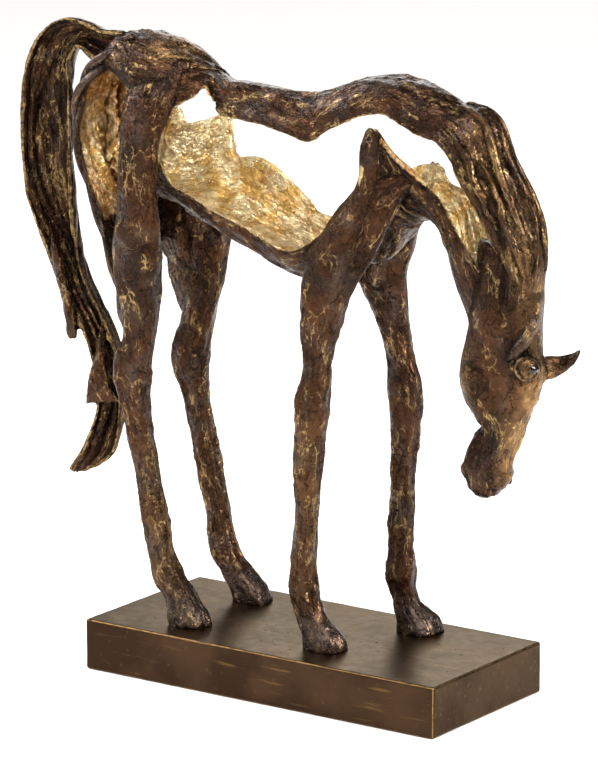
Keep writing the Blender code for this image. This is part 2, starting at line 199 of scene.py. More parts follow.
def walledSkin(points, wall, outward, inside=1.0, lip=0.62, lipReach=9.0, rimReach=2.2, **look):
    # a grid of points and the same grid moved back by the wall, which thins to a share, lip, at its edges;
    # inside is the leaf on the inner face
    normal = unit(np.cross(np.gradient(points, axis=0), np.gradient(points, axis=1)))
    if normal[len(normal) // 2, points.shape[1] // 2] @ np.asarray(outward, float) < 0:
        normal = -normal
    over = arcLength(points, 1)
    fromLip = np.minimum(over, over[:, -1:] - over)
    thick = wall * (lip + (1.0 - lip) * smoothStep(0.0, lipReach, fromLip))
    inner = points - normal * thick[..., None]
    along = arcLength(points, 0)
    lie = np.stack([over, 0.0 * over, along], axis=-1)
    rim = np.exp(-fromLip / rimReach)
    rings, lie, rim, leaf = (np.concatenate([a, b[:, ::-1]], axis=1) for a, b in (
        (points, inner), (lie, lie + (0.0, 60.0, 0.0)), (rim, rim), (0.0 * rim, 0.0 * rim + inside)))
    addSkin(rings, lie, rim=rim, leaf=leaf, **look)


def readOff(table, values):  # the second column of a table at each value of its first
    table = np.asarray(table, float)
    return np.interp(values, table[:, 0], table[:, 1])


horse = {
    "wall": 4.6, "tailWall": 5.0, "legSquare": 3.0, "plateSquare": 0.9, "troughSquare": 1.0,
    "grid": 1.3, "triangles": 192000, "ease": 2, "weld": 26, "reach": 12,  # skin, and rounds of smoothing
    "draw": 0.75,  # how far the skin is drawn in before its relief stands out
    "lumps": 1.0, "gouges": 3.2, "knifeMarks": 0.4, "locks": 1.9, "crumple": 3.0,  # relief heights
    "widePlane": 7.5, "smallPlane": 3.6, "wander": 4.0,  # knife planes, and how far their edges stray
    # Colours of the patina: the purple greys are partly a painted sheen, the near black partly painted shade
    # in hollows
    "brown": "#2f1f16", "redBrown": "#4a2f1d", "greyBrownAndSheen": "#54463e", "greyWaxAndSheen": "#4d423d",
    "goldenWax": "#b0885a", "hollowPatinaAndShade": "#140c08", "rubbedGold": "#d2b076", "eye": "#150d0a",
    # Colours of the leaf: its palest is a painted highlight, its hollow brown partly painted shade
    "straw": "#e1b96c", "paintedLeafHighlight": "#fae7b6", "ochreLeaf": "#cf9a4a", "lacquer": "#8a4b0d",
    "leafFibre": "#9a6f36", "leafCrack": "#6a461e", "leafHollowAndShade": "#7a5020",
}

# Legs: height, fore-and-aft place, half depth, half width; both hind legs share a table
hindLeg = (
    (34, -82, 17.0, 14.0), (41, -83.0, 16.5, 13.5), (48, -86.5, 14.5, 12.0),
    (57, -90.8, 12.0, 10.2), (66, -96.4, 11.3, 9.6), (75, -102.8, 13.4, 9.8),
    (91, -109.0, 12.0, 8.4), (112, -113.6, 11.2, 8.0), (135, -119.0, 10.8, 7.8),
    (160, -125.0, 11.3, 8.2), (188, -131.0, 12.2, 8.8), (206, -134.4, 13.2, 10.0),
    (221, -136.4, 17.2, 11.5), (232, -135.6, 16.7, 11.0), (247, -130.6, 14.6, 9.8),
    (266, -127.6, 15.6, 10.2), (282, -127.0, 18.0, 11.0), (300, -128.0, 21.0, 11.5),
    (322, -127.5, 23.0, 11.0), (340, -125, 18, 8), (350, -124, 9, 5),
)
hindAside = ((30, 40), (110, 39), (222, 37), (266, 38), (322, 43), (350, 44))
farHindStep = ((48, 0), (57, -3.5), (70, -5.5), (85, -3.0), (110, -1.0), (230, 0.0), (282, 1.0), (322, 0))
foreLeg = (
    (34, 35.2, 19.5, 15.0), (41, 34.5, 19.0, 15.0), (48, 31.0, 15.0, 12.8),
    (57, 26.0, 11.6, 10.4), (68, 21.5, 10.6, 9.4), (83, 17.5, 12.8, 10.0),
    (99, 18.0, 10.6, 8.4), (119, 19.3, 10.2, 8.0), (149, 19.9, 9.9, 8.0),
    (172, 21.2, 10.8, 8.8), (194, 22.8, 12.2, 10.0), (211, 24.6, 14.0, 11.6),
    (225, 25.5, 14.0, 11.4), (238, 27.8, 12.2, 9.8), (252, 29.9, 11.4, 9.0),
    (268, 32.1, 13.0, 10.0), (286, 34.5, 17.0, 11.0), (301, 36.5, 20.5, 11.0),
    (320, 42.0, 23.0, 9.5), (338, 50, 20, 8), (354, 57, 14, 5),
)
nearForeAside = ((30, 34), (110, 35), (240, 36), (320, 38), (352, 37))
farForeAside = ((30, 43), (110, 42), (240, 41), (320, 37), (352, 34))
farForeStep = (
    (30, 31.5), (60, 31.0), (80, 33.0), (150, 32.8), (205, 32.0), (228, 29.0),
    (250, 20.5), (272, 13.0), (296, 4.0), (320, -5.0),
)


def leg(table, aside, side, step=((0, 0), (1, 0))):
    # the table's ovals one above another, moved out to their side and on by a step that varies with height
    table = np.asarray(table, float)
    height = table[:, 0]
    place = table[:, 1] + readOff(step, height)
    rows = np.stack([place, side * readOff(aside, height), height, table[:, 2], table[:, 3]], axis=1)
    ovalTube(rows, square=horse["legSquare"])


leg(hindLeg, hindAside, -1)
leg(hindLeg, hindAside, 1, farHindStep)
leg(foreLeg, nearForeAside, -1)
leg(foreLeg, farForeAside, 1, farForeStep)
print("legs done")

# Haunches: place, y, height, half depth, half width
ovalTube((
    (-127.5, -42, 300, 17.0, 8.0), (-127.5, -43, 322, 22.5, 10.5), (-123.5, -46, 345, 20.0, 9.0),
    (-123.8, -47, 368, 18.8, 8.0), (-124.0, -45, 390, 18.5, 8.0), (-124.0, -41, 410, 19.0, 8.5),
    (-120.0, -36, 428, 21.0, 8.5), (-119.0, -28, 442, 24.0, 8.0), (-120.0, -17, 456, 24.0, 6.0),
), square=2.3)
ovalTube((
    (-133, 39, 250, 10, 6), (-134, 40, 268, 19, 9), (-133.5, 40, 282, 24, 12), (-135, 42, 300, 28, 12),
    (-141, 43, 322, 33, 10), (-141, 46, 345, 33, 6), (-138, 48, 366, 26, 2),
))

# Rolled near edge of the rump: x, y, height, radius
rearRim = np.array((
    (-147, -18, 472, 4.5), (-159, -20, 464, 5.5), (-171, -23, 454, 6.2), (-183, -28, 441, 6.2),
    (-190, -28, 428, 5.6), (-193.5, -28, 408, 4.2), (-192, -28, 384, 3.7), (-185.5, -28, 364, 3.7),
    (-176.5, -29, 345, 3.8), (-168, -30, 325, 4.2), (-158, -31.5, 305, 5.0), (-149, -34, 286, 6.2),
    (-143, -36, 268, 6.0), (-139, -37, 252, 3.5), (-137, -37, 240, 1.2),
), float)
rim = curveThrough(rearRim, 8)
run = unit(np.gradient(rim[:, :3], axis=0))
across = unit(np.array([0.0, 1.0, 0.0]) - run[:, 1:2] * run)
lay = 13.0  # length along the edge for each radian that the two cords wind
turn = arcLength(rim[:, :3], 0)[:, None] / lay
cordRadius = np.repeat(0.66 * rim[:, 3:], 2, axis=1)
for half in (0.0, math.pi):  # two cords laid round each other
    swing = np.cos(turn + half) * np.cross(across, run) + np.sin(turn + half) * across
    cord = rim[:, :3] + 0.5 * rim[:, 3:] * swing
    ovalTube(np.concatenate([cord, cordRadius], axis=1), steps=1, strand=0.3, bark=0.45)

# Rump by height: x and y of near rim, tail side, far quarter, flank and far front edge
rump = (
    (458, (-166, -26), (-182, -4), (-177, 20), (-164, 33), (-152, 37)),
    (440, (-185, -28), (-193, -4), (-188, 24), (-172, 38), (-154, 42)),
    (424, (-194, -28), (-200, -4), (-195, 26), (-175, 42), (-154, 44)),
    (408, (-197, -28), (-203, -4), (-198, 28), (-174, 45), (-153, 46)),
    (398, (-197, -28), (-203, -4), (-198, 28), (-173, 46), (-148, 46)),
    (389, (-195, -28), (-202, -4), (-197, 28), (-172, 46), (-116, 46)),
    (375, (-191, -28), (-198, -4), (-194, 29), (-171, 46), (-114, 46)),
    (355, (-182, -28), (-190, -3), (-188, 30), (-168, 47), (-111, 46)),
    (335, (-173, -29), (-181, -2), (-180, 30), (-164, 46), (-110, 45)),
    (314, (-163, -31), (-168, 0), (-169, 30), (-158, 45), (-112, 44)),
)
corners = curveThrough([[height, *np.ravel(places)] for height, *places in rump], 10)
xs = curveThrough(corners[:, 1::2].T, 12).T  # every station's five corners joined by one curve
ys = curveThrough(corners[:, 2::2].T, 12).T
around = np.linspace(0.0, math.pi, xs.shape[1])  # the wall hangs lower in places, for a torn lower edge
torn = 1.0 + np.sin(around) * (0.04 + 0.05 * np.sin(5.3 * around) + 0.04 * np.sin(11.7 * around + 1.0))
hang = rump[0][0] - (rump[0][0] - corners[:, :1]) * torn
walledSkin(np.stack([xs, ys, hang], axis=-1), horse["wall"], (-1, 0, 0))
# Folds and a ledge of leafed metal inside the rump: x, y, z, half depth, half width
for fold in (((-184, 24, 434, 3, 3), (-187, 24, 420, 6, 5), (-187, 25, 405, 6, 5), (-187, 24, 390, 5, 4),
              (-187, 24, 378, 2, 2)),
             ((-191, 14, 428, 2, 2), (-193, 14, 414, 4, 4), (-192, 15, 400, 5, 4), (-191, 13, 384, 5, 4),
              (-188, 12, 370, 3, 3)),
             ((-187, 14, 384, 3, 3), (-186, 14, 374, 6, 6), (-186, 16, 364, 6, 6), (-181, 19, 350, 5, 5),
              (-173, 22, 334, 3, 3)),
             ((-192, 6, 372, 3, 3), (-189, 10, 380, 4, 4), (-184, 16, 387, 4, 4), (-180, 24, 391, 3, 3))):
    ovalTube(fold, leaf=1.0)

# Top line from tail head to jaw: crown x z, near edge x z, half width
topLine = (
    (-184, 458, -180, 440, 16), (-174, 468, -168, 446, 26), (-160, 475, -154, 444, 33),
    (-140, 476, -136, 434, 38), (-120, 473, -114, 429, 37), (-104, 465, -98, 429, 34),
    (-93, 456, -85, 436, 29), (-84, 451, -77, 444, 22), (-74, 447, -69, 427, 23),
    (-58, 447, -56, 423, 23), (-28, 445, -29, 419.5, 24), (-5, 444, -5, 414.5, 24),
    (14, 447, 14, 412, 25), (34, 455, 34, 424, 25), (59, 463, 58, 435, 26),
    (85, 463, 81, 439, 26), (108, 458.5, 102, 428, 25), (130, 450, 122, 422.5, 24),
    (148, 446.5, 133, 412, 24), (161, 436, 140, 400, 24), (172, 412.5, 148, 388, 23),
    (185.5, 390, 155, 377, 22), (195, 368.5, 162, 364, 22), (198.5, 346, 168, 354, 21),
    (198, 320, 172, 345, 19), (188, 296, 177, 328, 12),
)
topSteps, topAcross = 12, 22
line = curveThrough(topLine, topSteps)
flat = np.zeros(len(line))
crown = np.stack([line[:, 0], flat, line[:, 1]], axis=1)
nearLip = np.stack([line[:, 2], -line[:, 4], line[:, 3]], axis=1)
farLip = np.stack([line[:, 2], 0.7 * line[:, 4], np.minimum(line[:, 3] + 6.0, line[:, 1] - 13.0)], axis=1)
maneShare = smoothStep(345.0, 395.0, arcLength(crown, 0))  # the mane begins on the crest
topPoints = gutter(nearLip, crown, farLip, topAcross, horse["plateSquare"])
walledSkin(topPoints, horse["wall"], (0, 0, 1), inside=0.75,
           strand=np.repeat(maneShare[:, None], 2 * topPoints.shape[1], axis=1))
# Locks of the mane: row of the top line, share of the way from lip to crown, radius
maneLocks = (
    ((17.0, 0.8, 1.0), (18.0, 0.78, 3.0), (19.0, 0.7, 3.8), (20.0, 0.62, 4.0), (21.0, 0.58, 3.6),
     (22.0, 0.62, 2.6), (22.8, 0.7, 0.9)),
    ((18.6, 1.0, 1.0), (19.6, 0.96, 3.2), (20.6, 0.9, 4.0), (21.6, 0.9, 4.2), (22.6, 0.86, 3.6),
     (23.5, 0.78, 2.4), (24.2, 0.7, 0.9)),
    ((19.4, 0.4, 1.0), (20.2, 0.42, 2.8), (21.0, 0.38, 3.2), (22.0, 0.34, 3.2), (23.0, 0.42, 3.0),
     (24.0, 0.56, 1.0)),
    ((17.2, 0.3, 1.0), (18.2, 0.26, 2.6), (19.2, 0.22, 3.0), (20.2, 0.2, 3.0), (21.2, 0.16, 2.6),
     (22.0, 0.2, 1.0)),
)
for lock in maneLocks:
    station, part, radius = curveThrough(lock, 6).T
    for half in (part, 2.0 - part):  # the same lock on both sides of the crown
        row = np.round(topSteps * station).astype(int)
        column = np.round((topAcross - 1) * half).astype(int)
        spot = curveThrough(topPoints[row, column][::3], 3)[:len(radius)]
        size = radius[:len(spot)]
        ovalTube(np.column_stack([spot, size, 0.8 * size]), steps=1, strand=1.0)

# Under line from flank to jaw: near edge x z, keel x z, far edge x z, half widths
underLine = (
    (-140, 408, -150, 352, -166, 428, 37, 43), (-122, 405, -124, 350, -146, 428, 38, 44),
    (-112, 387, -103, 347, -112, 420, 37, 44), (-103, 372, -92, 340, -98, 408, 36, 43),
    (-84, 364, -80, 336, -84, 394, 36, 42), (-66, 356, -64, 329, -68, 386, 36, 42),
    (-41, 348, -43, 321, -46, 374, 36, 42), (-18, 339, -20, 313, -26, 358, 37, 42),
    (0, 334, 0, 309, -4, 348, 38, 42), (18, 339, 15, 308, 10, 353, 39, 41),
    (40, 356, 32, 315, 28, 368, 40, 39),
    (60, 371, 48, 322, 46, 382, 41, 36), (72, 388, 62, 326, 62, 390, 41, 31),
    (73, 412, 77, 337, 75, 395, 40, 28), (82, 431, 89, 351, 86, 398, 38, 25),
    (97, 409, 97, 360, 98, 398, 33, 22), (109, 401, 108, 361, 109, 387, 31, 21),
    (120, 392, 117, 355, 120, 383, 28, 20), (130, 382, 124, 338, 131, 373, 26, 19),
    (138, 366, 129, 317, 142, 358, 24, 18), (149, 349, 135, 297, 153, 336, 21, 16),
    (160, 328, 141, 276, 164, 312, 13, 12),
)
# Torn far edge of the trough, x z: nothing of its far wall stands above this as far as the chest
tornEdge = (
    (-170, 427), (-153, 427), (-152, 412), (-149, 401), (-146, 395), (-140, 397), (-131, 400), (-120, 404),
    (-113, 408), (-110, 413), (-105, 413), (-103.5, 406), (-102.8, 386), (-100, 381), (-93, 376), (-83, 380),
    (-74, 379), (-62, 374), (-49, 365), (-40, 359), (-31, 352), (-25, 345), (-17, 343), (-4, 342),
)
underAcross, chest = 30, -6.0
line = curveThrough(underLine, 14)
nearLip = np.stack([line[:, 0], -line[:, 6], line[:, 1]], axis=1)
keel = np.stack([line[:, 2], 0.0 * line[:, 2] + 2.0, line[:, 3]], axis=1)
farLip = np.stack([line[:, 4], line[:, 7], line[:, 5]], axis=1)
underPoints = gutter(nearLip, keel, farLip, underAcross, horse["troughSquare"])
farX, farZ = underPoints[:, underAcross:, 0], underPoints[:, underAcross:, 2]
farZ[:] = np.where(farX < chest, np.minimum(farZ, readOff(tornEdge, farX)), farZ)
walledSkin(underPoints, horse["wall"], (0, 0, -1))
# Lacquered lip from the spike down the throat: x, y, z, half depth, half width
ovalTube(((80, -36, 432, 1.6, 1.6), (88, -35, 420, 2.4, 2.2), (97, -33, 410, 2.6, 2.2),
          (109, -30, 401, 2.4, 2.2), (119, -28, 393, 1.6, 1.6)), leaf=1.0)

# Shoulder: the ridge up to the near spike, the blade towards the throat and the far one
# x, y, z, half depth, half width
ovalTube((
    (38, -39, 320, 22, 10), (51, -39, 345, 15, 8.5), (66, -38, 370, 11, 6.5), (73, -37, 395, 9, 5),
    (75, -37, 412, 10, 4), (77.5, -37, 423, 8.5, 4), (80, -37, 431, 5.5, 3.5),
))
ovalTube(((37, -37, 305, 20, 10), (47, -37, 326, 23, 9), (60, -36, 350, 24, 7), (76, -34, 374, 20, 7),
          (92, -31, 388, 12, 5), (104, -27, 396, 6, 4)), square=2.4)
ovalTube(((36, 38, 300, 17, 11), (44, 36, 322, 19, 11), (56, 29, 343, 19, 10), (70, 20, 362, 15, 8),
          (84, 10, 374, 8, 5)))
print("body done")

# Lower neck and head: x, z, half depth, half width, widening towards the jaw
neckAndHead = (
    (172, 352, 26, 14, 0.0), (171, 335, 26.5, 17, 0.0), (170, 315, 28.5, 18, 0.0), (169, 297, 30.0, 18, 0.0),
    (168.5, 283, 31, 18, 0.0), (166.5, 268, 33.5, 18.5, 0.05), (165, 254, 34.5, 18.5, 0.1),
    (165, 240, 31.5, 17.5, 0.12), (165.5, 226, 23.5, 15, 0.1), (165, 213, 16.5, 12.5, 0.0),
    (158.5, 200, 18.5, 12.5, 0.0), (154.0, 187, 20.5, 14, 0.0), (154, 177, 18.5, 13, 0.0),
    (155.5, 169, 13.5, 10.5, 0.0), (157, 164.5, 5.5, 5, 0.0),
)
neckRows = [(x, 0.0, z, depth, width, taper) for x, z, depth, width, taper in neckAndHead]
ovalTube(neckRows, sides=48, square=2.2)
# Ears laid back, near and far: x, y, z, half depth, half width
ovalTube(((188, 12, 261, 9, 6), (195, 17, 263, 9.5, 6), (203, 20, 265.5, 7.5, 5), (211, 21, 270, 4.8, 3.6),
          (218, 21.5, 277, 1.6, 1.5)))
ovalTube(((199.5, -8, 303, 2.5, 2.4), (197, -11, 296, 4.6, 3.2), (193, -14.5, 287, 5.6, 3.2),
          (186.5, -17.5, 278, 4.6, 2.8), (180, -19.5, 271, 1.5, 1.4)), bark=0.5)


def ball(centre, radii, sides=24, **look):  # circles whose radius follows a half circle from pole to pole
    turn = np.linspace(0.02, math.pi - 0.02, sides // 2 + 1)[:, None]  # a small circle is left at each pole
    angle = np.linspace(0.0, 2.0 * math.pi, sides, endpoint=False)[None]
    across = np.sin(turn)
    shape = np.stack([across * np.cos(angle), across * np.sin(angle), np.cos(turn) + 0.0 * angle], axis=-1)
    rings = np.asarray(centre, float) + shape * np.asarray(radii, float)
    addSkin(rings, rings, **look)


# Cheek, nostril and chin on both sides: x, aside, z, three radii
swellings = ((152, 9, 253, 17, 10.5, 20), (165, 8, 181, 7, 5.5, 9.5), (141, 4, 184, 7.5, 8, 9))
for x, aside, z, *radii in swellings:
    for side in (-1, 1):
        ball((x, side * aside, z), radii)
lidTurn = np.linspace(0.0, 2.0 * math.pi, 40)[:, None]
lidRadius = np.full((len(lidTurn), 2), 1.6)
# Brow, lids round it and a polished ball on both sides; the far eye sits lower, behind its ear
for side, brow in ((-1, np.array((194.0, -12.5, 267.3))), (1, np.array((187.0, 12.5, 258.5)))):
    ball(brow, (9.5, 8.0, 9.5))
    lidCentre = brow + (2.0, 2.6 * side, 0.0)
    lid = lidCentre + 8.8 * np.cos(lidTurn) * (0.78, side * -0.62, 0.0) + 8.0 * np.sin(lidTurn) * (0, 0, 1)
    ovalTube(np.concatenate([lid, lidRadius], axis=1), steps=1, sides=12, rim=1.0, bark=0.2)
    ball(brow + (4.4, 0.9 * side, 0.0), (5.4, 5.6, 4.9), eye=1.0, bark=0.0)

# Tail ribbon: outer edge x z, inner edge x z
tail = (
    (-164, 475, -176, 449), (-182, 474, -192, 447), (-197, 478, -203, 452), (-214, 480, -211, 456),
    (-232, 474, -216, 448), (-246, 460, -218, 436), (-257, 437, -218, 421), (-260, 408, -218, 400),
    (-260, 378, -218, 376), (-257, 348, -217, 352), (-250, 324, -215, 325), (-240, 304, -212, 303),
    (-229, 282, -206, 282), (-218, 262, -196, 264), (-204, 240, -184, 246), (-194, 216, -174, 222),
    (-191, 197, -172, 202), (-193, 180, -173, 184), (-200, 163, -175, 165), (-207, 149, -180, 149),
    (-214, 140, -192, 138), (-219, 133, -210, 129),
)
line = curveThrough(tail, 10)
outer = np.stack([line[:, 0], 0.0 * line[:, 0] - 11.0, line[:, 1]], axis=1)[:, None]
inner = np.stack([line[:, 2], 0.0 * line[:, 0] - 5.0, line[:, 3]], axis=1)[:, None]
angle = np.linspace(0.0, math.pi, 40)[None, :, None]
shallow = 1.0 - 0.7 * smoothStep(0.8, 1.0, np.linspace(0.0, 1.0, len(line)))[:, None, None]  # towards the tip
bend = (0.0, 20.0, 0.0) * np.sin(angle) * shallow
tailPoints = outer + (inner - outer) * (1.0 - np.cos(angle)) / 2.0 + bend
walledSkin(tailPoints, horse["tailWall"], (0, 1, 0), inside=0.12, strand=1.0)
# Two locks that part from the ribbon: x, y, z, half depth, half width
tailLocks = (
    ((-237, -6, 322, 1.5, 1.5), (-229, -9, 303, 4.5, 4), (-221, -12, 281, 6, 5.5), (-214, -13, 258, 5.2, 4.8),
     (-211.5, -13, 240, 4.4, 4.2), (-211, -13, 235, 2.4, 2.4)),
    ((-188, -6, 246, 2, 2), (-187, -9, 230, 3.5, 4.5), (-187.5, -11, 214, 6.5, 5), (-187, -12, 200, 11, 5),
     (-184.8, -12, 189, 16, 4.2)),
)
for lock in tailLocks:
    ovalTube(lock, strand=0.3)
print("head and tail done")


# One skin over all the forms: a fine skin drawn over them, then eased and given its relief
def joinSkins(name):  # every form's points, faces and looks stacked into one mesh
    points, faces, lies, marks = [], [], [], []
    count = 0
    for rings, quads, lie, mark in skins:
        points.append(rings)
        faces.append(quads + count)
        lies.append(lie)
        marks.append(mark)
        count += len(rings)
    mesh = bpy.data.meshes.new(name)
    mesh.from_pydata(np.concatenate(points) * mm, [], np.concatenate(faces))
    lies = np.concatenate(lies).astype("f").ravel()
    mesh.attributes.new("lie", "FLOAT_VECTOR", "POINT").data.foreach_set("vector", lies)
    for key, values in zip(looks, np.concatenate(marks, axis=1)):
        mesh.attributes.new(key, "FLOAT", "POINT").data.foreach_set("value", values.astype("f"))
    return mesh


def readMesh(mesh, key, width=1, field="value"):
    # an attribute, or the mesh's own points or normals, as an array with width numbers to a point
    data = mesh.attributes[key].data if key in mesh.attributes else getattr(mesh, key)
    values = np.empty(len(mesh.vertices) * width, "f")
    data.foreach_get(field, values)
    return values.reshape(-1, width).astype(float) if width > 1 else values.astype(float)


def neighbourMean(values, edges, count):  # the mean of each point's neighbours
    flat = values.reshape(count, -1)
    a, b = edges
    number = np.bincount(a, minlength=count) + np.bincount(b, minlength=count)
    sums = [np.bincount(a, column[b], count) + np.bincount(b, column[a], count) for column in flat.T]
    return (np.stack(sums, axis=1) / np.maximum(number, 1)[:, None]).reshape(values.shape)


casting = bpy.data.objects.new("horseCasting", joinSkins("horseCasting"))
bpy.context.scene.collection.objects.link(casting)
mesh = casting.data
mesh.remesh_voxel_size = horse["grid"] * mm
mesh.use_remesh_preserve_attributes = True
with bpy.context.temp_override(active_object=casting, object=casting, selected_objects=[casting]):
    bpy.ops.object.voxel_remesh()
mesh = casting.data
count = len(mesh.vertices)
edges = np.empty(2 * len(mesh.edges), np.int32)
mesh.edges.foreach_get("vertices", edges)
edges = edges.reshape(-1, 2).T
place = readMesh(mesh, "vertices", 3, "co") / mm
for _ in range(horse["ease"]):
    place = 0.5 * place + 0.5 * neighbourMean(place, edges, count)
# Welds, where forms run together without a seam: x, aside, z, three radii, amount
welded = np.clip(blobs(place, (
    (-138, 50, 350, 36, 13, 36, 1.6), (62, 46, 372, 26, 13, 34, 1.6), (44, 44, 322, 26, 13, 26, 1.4),
    (190, 12, 310, 20, 18, 18, 1.4), (147, 12, 308, 16, 18, 26, 1.4), (160, 18, 322, 16, 8, 18, 1.0),
    (154, 17, 252, 18, 8, 20, 0.9), (166, 13, 183, 9, 7, 9, 0.8), (-125, 44, 266, 18, 12, 22, 1.0),
)), 0.0, 1.0)[:, None]
for _ in range(horse["weld"]):
    place += 0.8 * welded * (neighbourMean(place, edges, count) - place)
mesh.vertices.foreach_set("co", (place * mm).astype("f").ravel())
mesh.update()
print("skin drawn,", count, "points")

# Relief: long swellings, gouges along each form with crests between them, small knife marks, locks of hair
normal = readMesh(mesh, "vertex_normals", 3, "vector")
lie = readMesh(mesh, "lie", 3, "vector")
leaf, rim, bark, strand, eye = (readMesh(mesh, key) for key in looks)
# No leaf low in the rump, nor on the haunches
low = smoothStep(-134.0, -140.0, place[:, 0]) * smoothStep(346.0, 322.0, place[:, 2])
leaf *= 1.0 - np.clip(low + blobs(place, ((-118, 46, 330, 34, 14, 26, 1.8),)), 0.0, 1.0)
metal = 1.0 - smoothStep(0.3, 0.7, leaf)
for _ in range(horse["reach"]):  # hair fades out into the crust
    strand = neighbourMean(strand, edges, count)
rumpInside = (1.0 - metal) * smoothStep(-140.0, -158.0, place[:, 0])
warp = np.stack([cloudNoise(place, 9.0, seed) for seed in (1, 2, 3)], axis=1) - 0.5
patches = smoothStep(0.35, 0.62, cloudNoise(place, 18.0, 7))
# Each pattern stands less about its mean, so that the relief neither swells nor thins the form
bowlMean, markMean, crumpleMean = 0.28, 0.22, 0.45
lumps = cloudNoise(lie, (13.0, 13.0, 42.0), 4) + 0.6 * cloudNoise(lie, (7.0, 7.0, 18.0), 5) - 0.8
bowls, crestGap = gouges(lie + 6.0 * warp, (10.0, 10.0, 30.0), 6)
marks, markGap = gouges(place + 3.0 * warp, 5.2, 8)
wave = lie[:, 0] / 12.0 + 2.4 * cloudNoise(lie, (30.0, 30.0, 100.0), 9)
locks = np.abs(np.sin(math.pi * wave)) ** 0.8 - 0.6 + 0.3 * (np.abs(np.sin(math.pi * (2.7 * wave))) - 0.6)
height = horse["lumps"] * lumps * (1.0 - 0.5 * strand)
height += horse["gouges"] * (bowls - bowlMean) * (0.5 + 0.5 * metal) * (1.0 - 0.6 * strand)
height += horse["knifeMarks"] * (marks - markMean) * (0.4 + 0.9 * patches)
height += horse["locks"] * locks * strand
height += horse["crumple"] * (bowls + marks - crumpleMean) * rumpInside
for _ in range(horse["reach"]):  # relief runs on over the welds
    height += welded[:, 0] * (neighbourMean(height, edges, count) - height)
place += normal * (bark * height - horse["draw"] * (1.0 - eye))[:, None]

# Hollows pressed into the head and mane: x, aside, z, three radii, depth
pressed = blobs(place, (
    (162, 15, 207, 9, 9, 27, 3.4), (171, 17, 240, 8, 8, 17, 2.2), (182, 18, 259, 5, 8, 8, 1.6),
    (175.5, 9, 190, 2.6, 5, 7, 2.4), (171, 11, 178.5, 3, 5, 3.4, 1.5), (162, 13, 170.5, 8, 8, 1.9, 1.7),
    (143, 10, 175, 2.4, 6, 9, 1.8), (169.5, 12, 204, 3.2, 7, 15, -1.9), (166, 13, 186, 3, 6, 7, -1.2),
    (180, 15, 243, 3, 7, 13, -1.4), (193, 15, 376, 3, 7, 14, 2.6), (175, 19, 326, 3.2, 8, 17, 3.2),
    (184, 17, 312, 3, 8, 14, 1.8), (151, 18, 262, 8, 9, 3, 1.0), (205, 6, 240, 5, 9, 30, 0.8),
))
place -= normal * (pressed * (1.0 - eye))[:, None]
mesh.vertices.foreach_set("co", (place * mm).astype("f").ravel())
mesh.update()

# What the finish reads: rubbed crests, hollows darkened by patina and by painted shade, golden wax, amber
# lacquer, and grey wax that is partly a painted sheen
normal = readMesh(mesh, "vertex_normals", 3, "vector")
stand = ((place - neighbourMean(place, edges, count)) * normal).sum(axis=1)
stand = 0.5 * stand + 0.5 * neighbourMean(stand, edges, count)
smoothed = place
for _ in range(horse["reach"]):
    smoothed = neighbourMean(smoothed, edges, count)
broad = ((place - smoothed) * normal).sum(axis=1)
knifeEdges = np.exp(-markGap / 0.16) * smoothStep(0.5, 0.7, cloudNoise(place, 11.0, 10))
crest = np.exp(-crestGap / 0.10) * patches + 0.5 * knifeEdges
plinthTop = plinthHigh[2]
hooves = 1.0 - smoothStep(plinthTop + 12.0, plinthTop + 34.0, place[:, 2])
# x, aside, z, three radii, amount
# Painted shade: dark spots where shade falls, in the nostrils, the mouth, the cheek hollows, the slots below
# the mane and a fold in the rump
paintedShadeSpots = (
    (162, 16, 207, 8, 9, 24, 0.6), (171, 18, 240, 7, 9, 14, 0.3), (175.5, 8, 190, 3, 6, 6, 0.9),
    (171.5, 10, 178, 3, 5, 3, 0.8), (162, 13, 170.5, 8, 8, 1.8, 0.7), (158, 21, 337, 10, 7, 8, 0.9),
    (176, 20, 324, 6, 8, 18, 0.9), (193, 16, 374, 4, 8, 14, 0.7), (-196, 20, 404, 3, 8, 22, 0.8),
    (160, 0, 352, 18, 18, 9, 1.2),
)
goldenParts = (
    (196, 0, 240, 14, 16, 22, 0.8), (182, 0, 208, 9, 14, 16, 0.6), (173, 0, 190, 6, 12, 12, 0.6),
    (140, 10, 255, 9, 14, 20, 0.7), (132, 6, 184, 7, 12, 13, 0.9), (-104, 10, 470, 26, 40, 9, 0.5),
    (196, 5, 310, 9, 20, 30, 0.2), (166, 20, 420, 12, 14, 30, 0.35), (190, 20, 360, 9, 14, 40, 0.4),
    (18, 42, 150, 30, 12, 70, 0.1), (-104, 42, 110, 30, 12, 60, 0.15), (196, 22, 262, 8, 9, 10, 0.5),
)
lacqueredParts = (
    (-176, 16, 432, 28, 40, 24, 1.8), (-30, 20, 335, 60, 30, 20, 0.35), (-184, 26, 404, 10, 14, 30, 1.0),
    (-176, 24, 338, 22, 32, 30, 1.7), (-96, 40, 384, 8, 12, 10, 0.5), (-60, 42, 360, 14, 9, 8, 0.5),
    (-30, 38, 350, 16, 9, 8, 0.4), (88, 35, 422, 16, 10, 16, 1.6), (106, 31, 406, 16, 9, 10, 1.2),
    (126, 26, 398, 12, 7, 8, 0.6),
)
finish = {
    "worn": 0.7 * crest + 0.5 * smoothStep(0.07, 0.22, stand) + 0.8 * smoothStep(1.3, 2.4, broad),
    # dark hollows: patina in creases and broad hollows, plus the spots of painted shade
    "deep": (0.7 * smoothStep(0.03, 0.20, -stand) + 0.9 * smoothStep(0.0, 1.0, -broad)
             + blobs(place, paintedShadeSpots)),
    "gilded": blobs(place, goldenParts),
    "amber": blobs(place, lacqueredParts),
    # grey wax on the cords, lids and hooves, partly a painted sheen
    "greyed": np.clip(1.3 * (1.0 - bark), 0.0, 1.0) * (1.0 - eye) + 0.8 * hooves,
}
